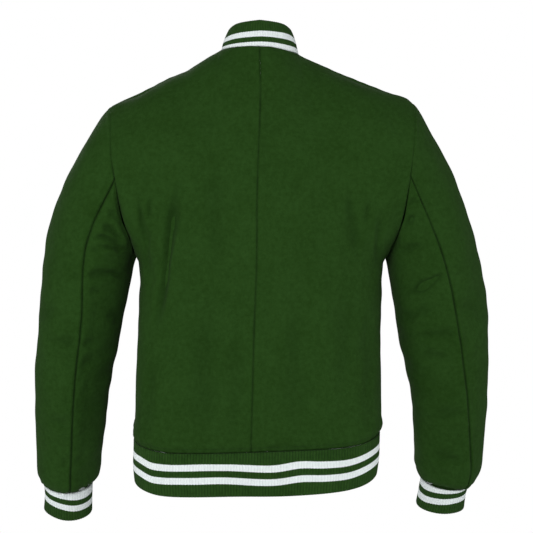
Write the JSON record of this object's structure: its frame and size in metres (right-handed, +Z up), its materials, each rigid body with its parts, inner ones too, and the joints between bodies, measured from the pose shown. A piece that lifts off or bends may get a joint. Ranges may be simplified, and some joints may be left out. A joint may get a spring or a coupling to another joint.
{
  "type": "varsity jacket",
  "caption": "Wool varsity jacket, filled out as worn and snapped shut, with rib knit collar, cuffs and hem band striped in white.",
  "frame": {"origin": "middle of the neck opening, level with the points where the shoulder seams meet the collar: where the wearer's neck holds it", "axes": "+Z up, towards the collar; -Y the snapped front; +X the wearer's left"},
  "size_m": [0.6956, 0.2353, 0.7601],
  "materials": {
    "wool": "matt melton wool",
    "knit": "rib knit with two white stripes",
    "snap": "satin enamel"
  },
  "bodies": {
    "root": {"back_left": "wool", "back_right": "wool", "front_left": "wool", "front_right": "wool", "sleeve_top_left": "wool", "sleeve_top_right": "wool", "sleeve_under_left": "wool", "sleeve_under_right": "wool", "collar": "knit", "hem_band": "knit", "cuff_left": "knit", "cuff_right": "knit", "snap_1": "snap", "snap_2": "snap", "snap_3": "snap", "snap_4": "snap", "snap_5": "snap", "snap_6": "snap", "snap_7": "snap"}
  },
  "joints": []
}
